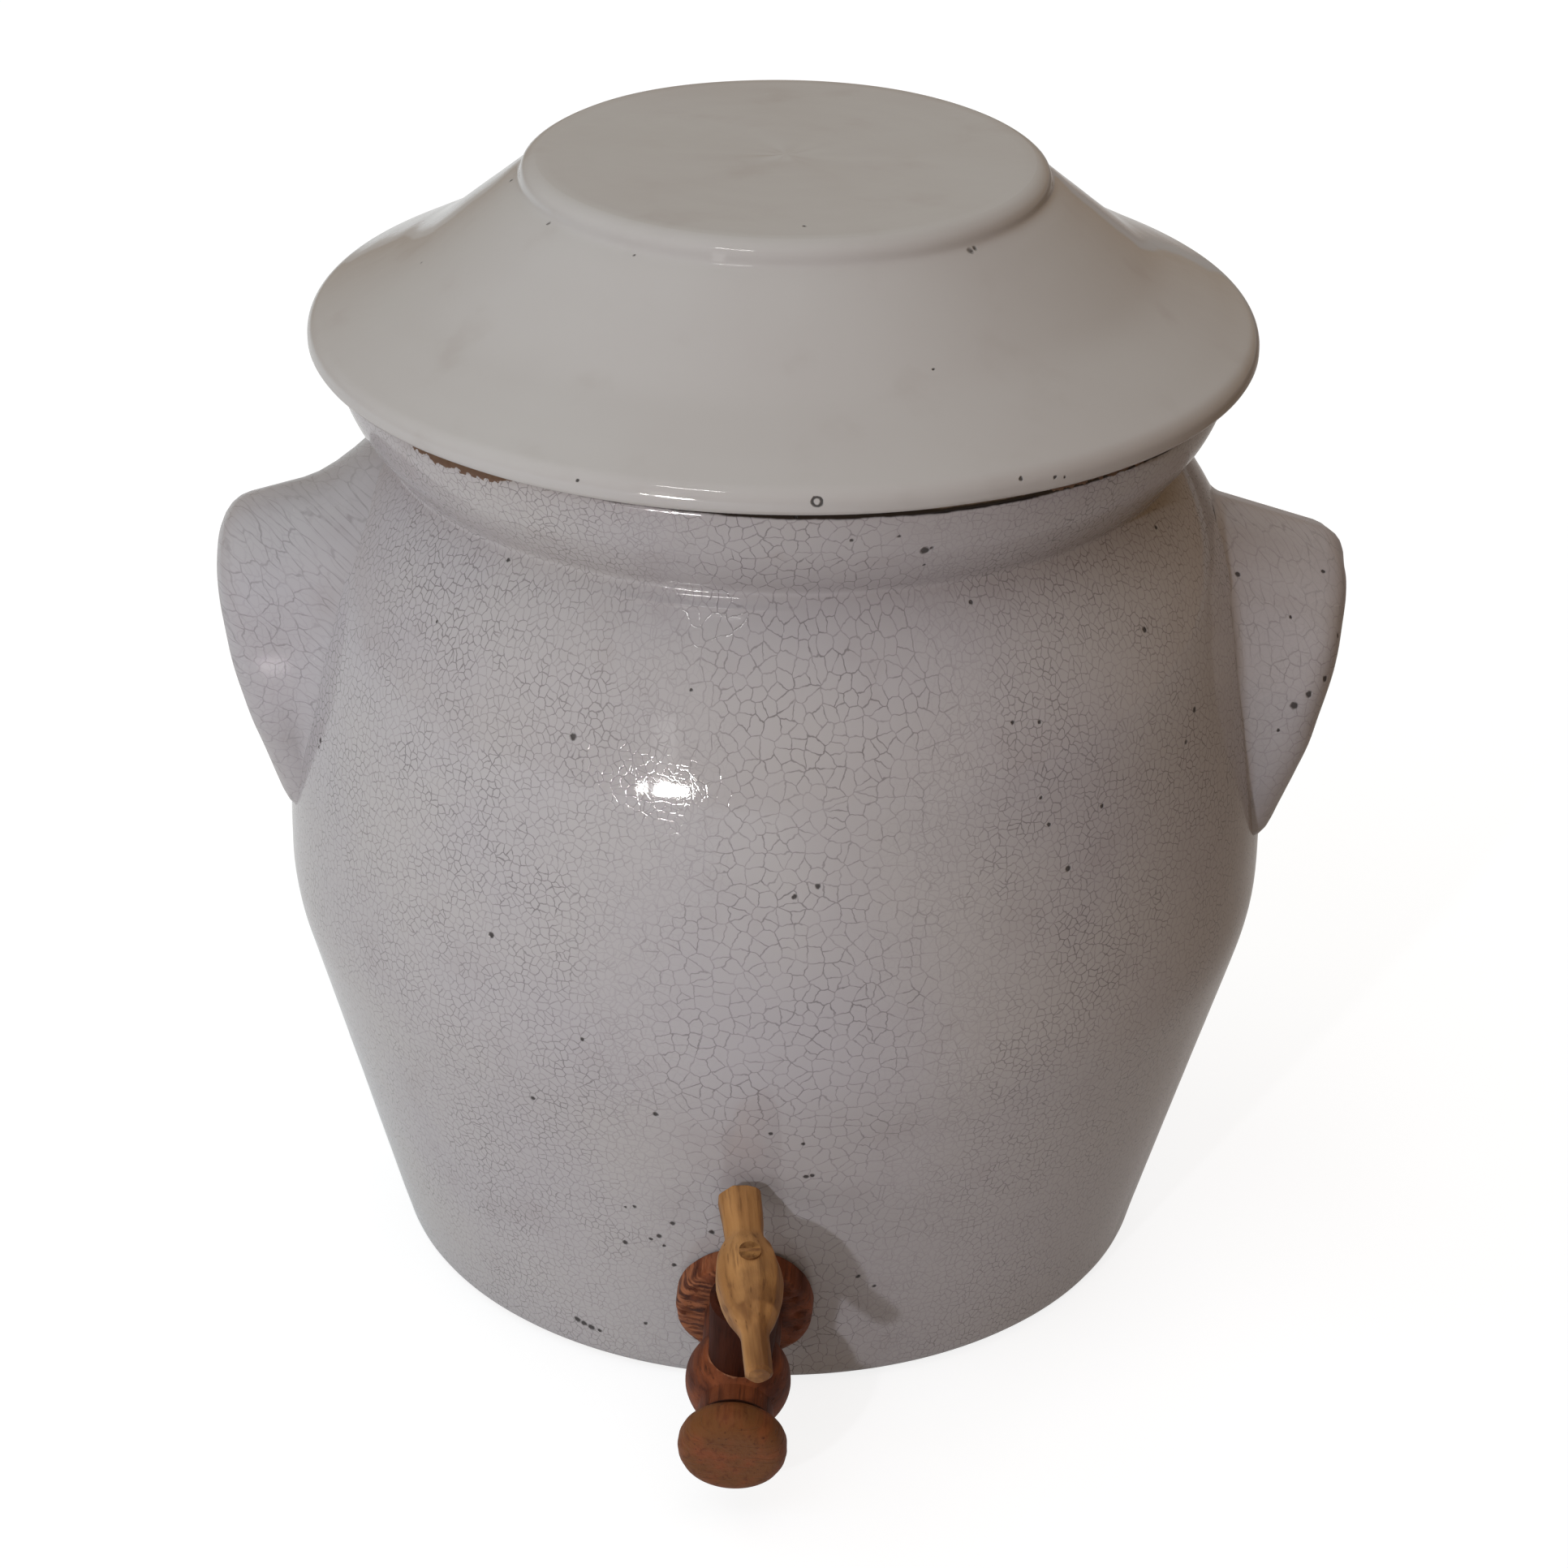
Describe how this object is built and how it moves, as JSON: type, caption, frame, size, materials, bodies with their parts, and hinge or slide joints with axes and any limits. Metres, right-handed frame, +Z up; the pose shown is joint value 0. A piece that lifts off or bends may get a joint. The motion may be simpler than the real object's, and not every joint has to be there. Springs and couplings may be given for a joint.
{
  "type": "vinegar crock",
  "caption": "Crackle-glazed ceramic vinegar crock with a loose grip-disc lid, lug ears and a turned wooden plug tap low on its front.",
  "frame": {"origin": "centre of the foot's flat underside", "axes": "+Z up the crock's axis, -Y the way the tap points, +X to the right lug as the tap is faced"},
  "size_m": [0.2856, 0.2988, 0.29],
  "materials": {
    "crackle_glaze": "glossy white glaze with a fine dark crackle",
    "lid_glaze": "glossy white glaze with pinholes",
    "cork": "raw cork",
    "stained_wood": "turned and vinegar-stained",
    "dark_wood": "wet-dark",
    "pale_wood": "knife-cut"
  },
  "bodies": {
    "crock": {"crock_body": "crackle_glaze", "left_lug": "crackle_glaze", "right_lug": "crackle_glaze", "cork_bung": "cork", "tap_barrel": "stained_wood"},
    "lid": {"lid": "lid_glaze"},
    "key": {"tap_plug": "dark_wood", "tap_handle": "pale_wood", "tenon_wedge": "pale_wood"}
  },
  "joints": [
    {"name": "lid_lift", "type": "slide", "parent": "crock", "child": "lid", "axis": [0, 0, 1], "range_m": [0, 0.1]},
    {"name": "key_turn", "type": "hinge", "parent": "crock", "child": "key", "pos_m": [0, -0.13307, 0.02575], "axis": [0.0663, -0.2667, 0.9615], "range_deg": [-150, 134]}
  ]
}
